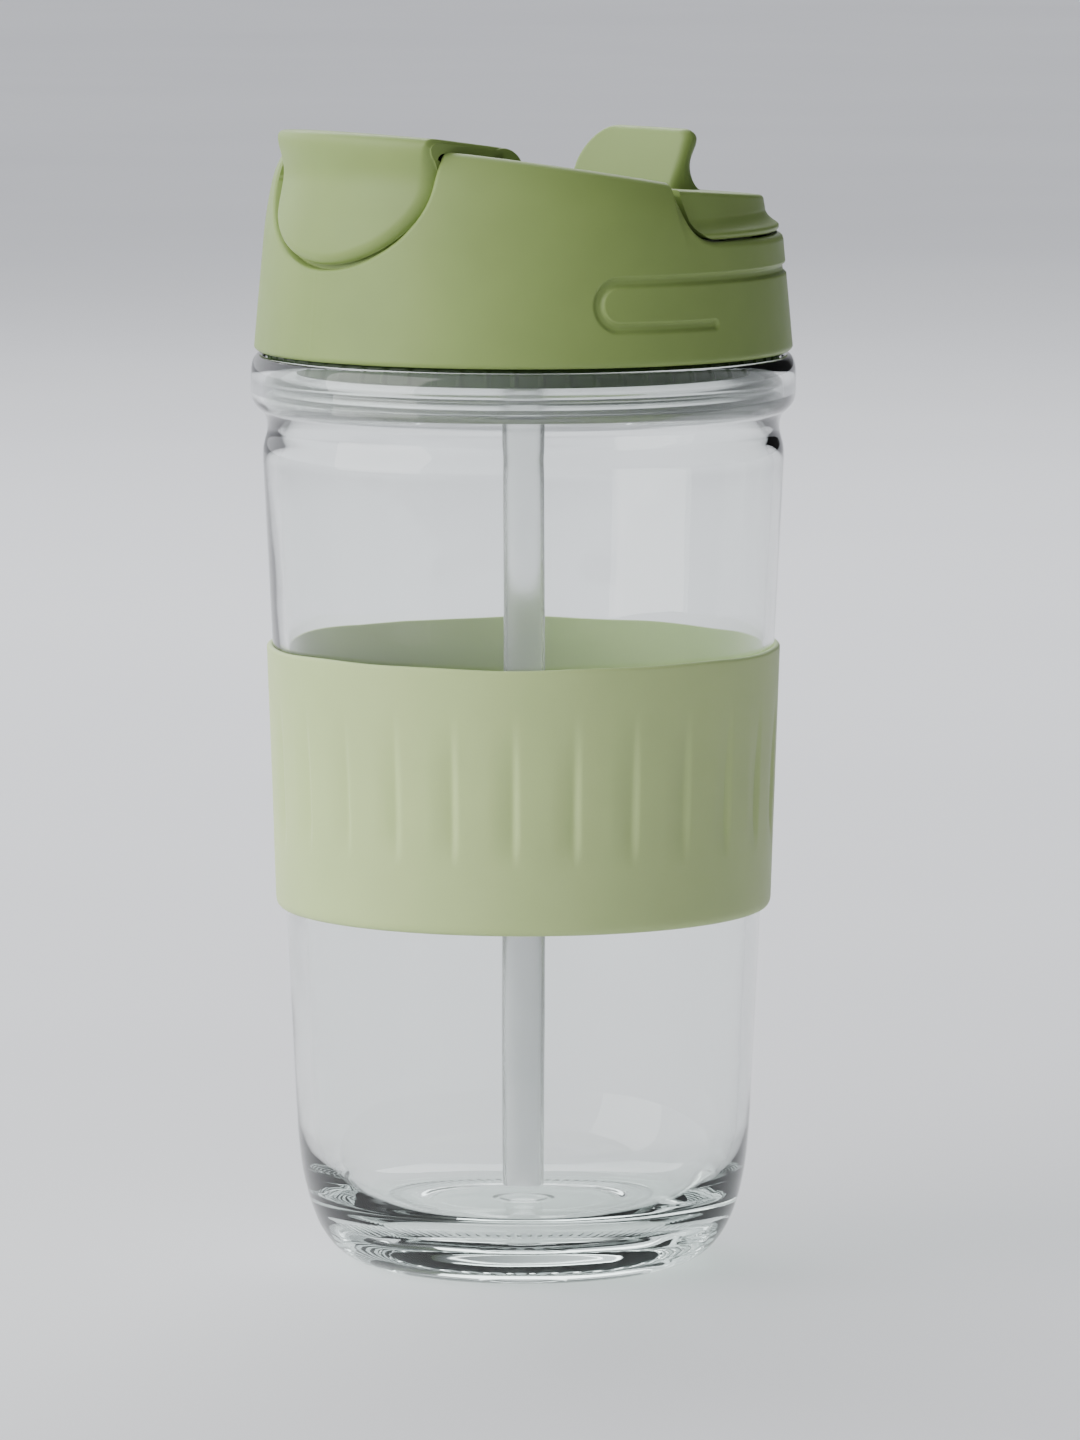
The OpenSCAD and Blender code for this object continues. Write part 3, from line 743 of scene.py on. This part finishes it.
def bar(u, z, r, half, soften, steps=48):
    """A moulded knuckle along X with softened ends."""
    ends = [(0, -half)] + bend((r - soften, -half), (r, -half), (r, -half), (r, -half + soften), 6)
    ends += [(p, -q) for p, q in reversed(ends)]
    line = np.array(tidy_line(ends))
    angle = np.linspace(0, 2 * math.pi, steps, endpoint=False)
    rho, along = line[:, :1], line[:, 1:]
    points = np.stack([np.repeat(along, steps, 1), -u + rho * np.cos(angle), z + rho * np.sin(angle)], -1)
    return points, net(len(line), steps, False, True)


points, faces = joined(flap_skin, bar(FLAP_PIN_U, FLAP_PIN_Z, KNUCKLE_R, PLATE_HALF, 0.8, 72))
flap = make_piece("sipping_flap", points, faces, "sip_flap", "sip_flap")
finish_edges(flap)
flap.data.materials.append(lid_plastic)
dress("sip_pad", soft_clear)

# ---- Straw hatch --------------------------------------------------------------------------
# The rear half of the lid's top in one moulding: a thin-walled cap that closes onto the
# ledge, a tongue forward to its hinge knuckle, and a thumb tab that leans back. A soft pad
# under it closes the mouthpiece and the vent hole.
CAP_H, CAP_FALL = 169.75, 0.08
CAP_LOW = 162.1
CAP_T = 1.8
HATCH_PIN_U, HATCH_PIN_Z = 9.5, 168.0
HATCH_KNUCKLE_R = 2.4
TAB_HALF = 12.8
TAB_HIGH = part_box("straw_hatch")[1].z / MM


def cap_r(z):
    """Outer radius of the cap's wall, which flares onto the ledge."""
    flare = 37.55 + 2.15 * (np.clip(165.5 - z, 0, 2.5) / 2.5) ** 2
    return np.where(z < 165.5, np.where(z < 163, 39.7, flare), 37.55 - 0.17 * (z - 165.5))


FRONT_END = [(0.0, 170.4), (0.05, 169.6), (0.3, 168.3), (1.0, 166.2),
             (1.9, 163.9), (2.6, 163.0), (3.7, 162.4), (5.2, CAP_LOW)]
front_y, front_z = np.array(FRONT_END[::-1]).T


def cap_front(z):
    """Depth of the cap's front end at a height z."""
    return np.interp(z, front_z, front_y)


def cap_top(y):
    """Height of the cap's sloping top at a depth y."""
    return CAP_H - CAP_FALL * y


# the wall, from the ledge up to its rounded top corner
CAP_CORNER = 0.85
CAP_COLUMNS = 181
CORNER_STARTS = 1 / 1.35
quarter_turns = np.linspace(-math.pi / 2, math.pi / 2, CAP_COLUMNS)
round_about = 0.75 * np.sin(quarter_turns) + 0.25 * np.linspace(-1, 1, CAP_COLUMNS)
rows = []
low_steps = np.concatenate([np.linspace(CAP_LOW, 163.1, 6), np.linspace(163.25, 165.6, 14)])
knee = low_steps[-1]
for step, share in [(z0, None) for z0 in low_steps] + [(None, t) for t in np.linspace(0, 1, 22)[1:]]:
    height = np.full(round_about.shape, knee if step is None else step)
    for _ in range(6):
        radius = cap_r(height)
        half = math.pi - np.arccos(np.clip(-cap_front(height) / radius, -1, 1))
        angle = math.pi + round_about * half
        y = -radius * np.cos(angle)
        if share is not None:
            straight_part = min(share / CORNER_STARTS, 1.0)
            height = knee + (cap_top(y) - CAP_CORNER - knee) * straight_part
    bend_in = 0.0
    if share is not None and share > CORNER_STARTS:
        bend_in = (share - CORNER_STARTS) / (1 - CORNER_STARTS) * math.pi / 2
        height = height + CAP_CORNER * math.sin(bend_in)
    foot = 0.3 * max(0, 1 - (step - CAP_LOW) / 0.3) if step else 0
    radius = radius - CAP_CORNER * (1 - math.cos(bend_in)) - foot
    rows.append(np.stack([radius * np.sin(angle), -radius * np.cos(angle), height], -1))
edge = rows[-1]
wall_rows = len(rows)

# the sloping top, its rounded front corner and the front end down to the ledge
FRONT_CORNER = 1.0
front_start = float(edge[0, 1]) + FRONT_CORNER
for s in np.linspace(0, 1, 26)[1:]:
    y = edge[:, 1] * (1 - s) + np.minimum(edge[:, 1], front_start) * s
    rows.append(np.stack([edge[:, 0], y, cap_top(y)], -1))
last = rows[-1]
for s in np.linspace(0, 1, 7)[1:]:
    a = s * math.pi / 2
    y = last[:, 1] - (last[:, 1] - edge[0, 1]) * math.sin(a)
    drop = FRONT_CORNER * (1 - math.cos(a)) * np.minimum(1, (last[:, 1] - edge[0, 1]) / FRONT_CORNER)
    rows.append(np.stack([last[:, 0], y, cap_top(y) - drop], -1))
for border in [row[-1] for row in rows[wall_rows - 1::-1]]:
    x = last[:, 0] / abs(last[0, 0]) * border[0]
    rows.append(np.stack([x, np.full_like(x, border[1]), np.minimum(border[2], rows[-1][:, 2])], -1))
cap = np.stack(rows)


def welded(points, faces):
    """The same faces with points that coincide made into one."""
    flat = points.reshape(-1, 3)
    _, first, index = np.unique(np.round(flat, 3), axis=0, return_index=True, return_inverse=True)
    index = index.ravel()
    kept = []
    for face in faces:
        ring = [int(index[k]) for k in face]
        ring = [k for n, k in enumerate(ring) if k != ring[n - 1]]
        if len(set(ring)) > 2:
            kept.append(tuple(ring))
    return flat[first], kept


def hollowed(points, depth):
    """The cap's own outline drawn in by a wall's thickness: off the side, the top and the front."""
    x, y, z = points.T
    radius = np.hypot(x, y)
    side = np.maximum(radius - (cap_r(z) - depth), 0) * 0.98
    front = np.maximum(cap_front(z) + depth - y, 0) * 0.98
    over = np.maximum(z - (cap_top(y) - depth), 0) * 0.98
    closer = (radius - side) / radius
    return np.stack([x * closer, np.maximum(y * closer, y + front), z - over], -1)


cap_points, cap_faces = welded(cap, net(cap.shape[0], cap.shape[1], False, False))
cap_solid = sheet(cap_points, hollowed(cap_points, CAP_T), cap_faces)

# tongue from the cap forward to the knuckle
tongue_x = np.linspace(-1, 1, 30)
tongue_rows = [np.stack([tongue_x * (TAB_HALF - 0.1), np.full_like(tongue_x, y),
                         np.full_like(tongue_x, cap_top(y) - 0.02)], -1)
               for y in np.linspace(5, -HATCH_PIN_U, 16)]
tongue = np.stack(tongue_rows)
border = TAB_HALF - 0.1 - np.abs(tongue[:, :, 0])
under = tongue - np.array([0, 0, 2.0])
tongue = under + (tongue - under) * rounded(border, 0.6)[..., None]
tongue_solid = sheet(tongue, under, net(tongue.shape[0], tongue.shape[1], False, False))

# thumb tab: straight front, hollowed rear, one broad and one tight top corner
front_line = np.array(tidy_line(straight((18.95, 166.8), (19.4, 168), 4)
                                + straight((19.4, 168), (22.5, TAB_HIGH - 0.9), 22)
                                + bend((22.5, TAB_HIGH - 0.9), (22.8, TAB_HIGH - 0.1),
                                       (23.3, TAB_HIGH), (23.9, TAB_HIGH), 8)))
back_line = np.array(tidy_line(bend((27.6, 167.3), (26.2, 167.6), (25.4, 168.0), (24.7, 169.2), 10)
                               + bend((24.7, 169.2), (23.7, 170.8), (23.8, 172.2), (24.6, 173.6), 14)
                               + bend((24.6, 173.6), (25.3, 174.7), (25.9, 176.2), (24.9, TAB_HIGH - 0.4), 10)
                               + bend((24.9, TAB_HIGH - 0.4), (24.6, TAB_HIGH - 0.1),
                                      (24.3, TAB_HIGH), (23.9, TAB_HIGH), 4)))


def even_line(line, count):
    """The same line with evenly spaced points."""
    run = np.concatenate([[0], np.cumsum(np.hypot(*np.diff(line, axis=0).T))])
    even = np.linspace(0, run[-1], count)
    return np.stack([np.interp(even, run, line[:, 0]), np.interp(even, run, line[:, 1])], -1)


front_pts, back_pts = even_line(front_line, 64), even_line(back_line, 64)
BROAD_CORNER, TIGHT_CORNER = (8.5, 8.0), (2.0, 2.0)
tab_rows_f, tab_rows_b = [], []
spacing = np.sin(np.linspace(-math.pi / 2, math.pi / 2, 61))
for (fy, fz), (by, bz) in zip(front_pts, back_pts):
    high = TAB_HIGH - (fz + bz) / 2
    limits = []
    for corner_w, corner_h in (BROAD_CORNER, TIGHT_CORNER):
        climb = min(1.0, max(0.0, 1 - max(high, 0.0) / corner_h))
        limits.append(TAB_HALF - corner_w * (1 - math.sqrt(max(0.0, 1 - climb * climb))))
    low, top_x = -limits[0], limits[1]
    x = (low + top_x) / 2 + spacing * (top_x - low) / 2
    inside = np.minimum(x - low, top_x - x)
    middle = np.array([(fy + by) / 2, (fz + bz) / 2])
    soft = rounded(inside, 1.5, 0.2)
    f = middle + (np.array([fy, fz]) - middle) * soft[:, None]
    b = middle + (np.array([by, bz]) - middle) * soft[:, None]
    tab_rows_f.append(np.stack([x, f[:, 0], f[:, 1]], -1))
    tab_rows_b.append(np.stack([x, b[:, 0], b[:, 1]], -1))
tab_front, tab_back = np.stack(tab_rows_f), np.stack(tab_rows_b)
tab_solid = sheet(tab_front, tab_back, net(tab_front.shape[0], tab_front.shape[1], False, False))

knuckle = bar(HATCH_PIN_U, HATCH_PIN_Z, HATCH_KNUCKLE_R, TAB_HALF - 0.1, 0.5)
points, faces = joined(cap_solid, tongue_solid, knuckle, tab_solid)
hatch = make_piece("rear_hatch", points, faces, "straw_hatch", "straw_hatch")
finish_edges(hatch)
hatch.data.materials.append(lid_plastic)
dress("hatch_pad", soft_clear)

# ---- Studio -------------------------------------------------------------------------------
# A pale floor, one broad soft light from the left of the camera, another high behind, and
# a plain sky that is brighter on the left.
floor_mesh = bpy.data.meshes.new("floor")
floor_mesh.from_pydata([(-14, -14, 0), (14, -14, 0), (14, 14, 0), (-14, 14, 0)], [], [(0, 1, 2, 3)])
floor = bpy.data.objects.new("floor", floor_mesh)
bpy.context.scene.collection.objects.link(floor)
floor_finish, link, shader, add = new_finish("pale_floor")
link(ramp(link, add, grain(link, add, 3, 2).outputs["Fac"], (0.78, 0.78, 0.80), (0.82, 0.82, 0.835)),
     shader.inputs["Base Color"])
shader.inputs["Roughness"].default_value = 0.75
floor_mesh.materials.append(floor_finish)


def soft_light(name, place, aim, width, height, power, colour):
    lamp = bpy.data.lights.new(name, "AREA")
    lamp.shape = "RECTANGLE"
    lamp.size = width
    lamp.size_y = height
    lamp.energy = power
    lamp.color = colour
    light = bpy.data.objects.new(name, lamp)
    light.location = place
    light.rotation_euler = (Vector(aim) - Vector(place)).to_track_quat("-Z", "Y").to_euler()
    bpy.context.scene.collection.objects.link(light)


left = Vector((-math.cos(ROUND_FROM_FRONT), -math.sin(ROUND_FROM_FRONT), 0))
near = Vector((math.sin(ROUND_FROM_FRONT), -math.cos(ROUND_FROM_FRONT), 0))
middle = (0, 0, 0.09)
soft_light("window", left * 1.1 + near * 0.45 + Vector((0, 0, 0.55)), middle, 1.1, 1.1, 12, (1, 0.985, 0.95))
soft_light("back", left * 0.2 - near * 1.3 + Vector((0, 0, 1.3)), middle, 1.6, 1.0, 22, (0.95, 0.97, 1))

sky = bpy.data.worlds.new("sky")
bpy.context.scene.world = sky
sky.use_nodes = True
nodes, link = sky.node_tree.nodes, sky.node_tree.links.new
direction = nodes.new("ShaderNodeTexCoord")
toward = nodes.new("ShaderNodeVectorMath")
toward.operation = "DOT_PRODUCT"
toward.inputs[1].default_value = left
link(direction.outputs["Generated"], toward.inputs[0])
shade = nodes.new("ShaderNodeMapRange")
shade.inputs["From Min"].default_value = -0.4
shade.inputs["To Min"].default_value = 0.04
shade.inputs["To Max"].default_value = 2.5
link(toward.outputs["Value"], shade.inputs["Value"])
link(shade.outputs["Result"], nodes["Background"].inputs["Strength"])
nodes["Background"].inputs["Color"].default_value = (0.93, 0.95, 1, 1)
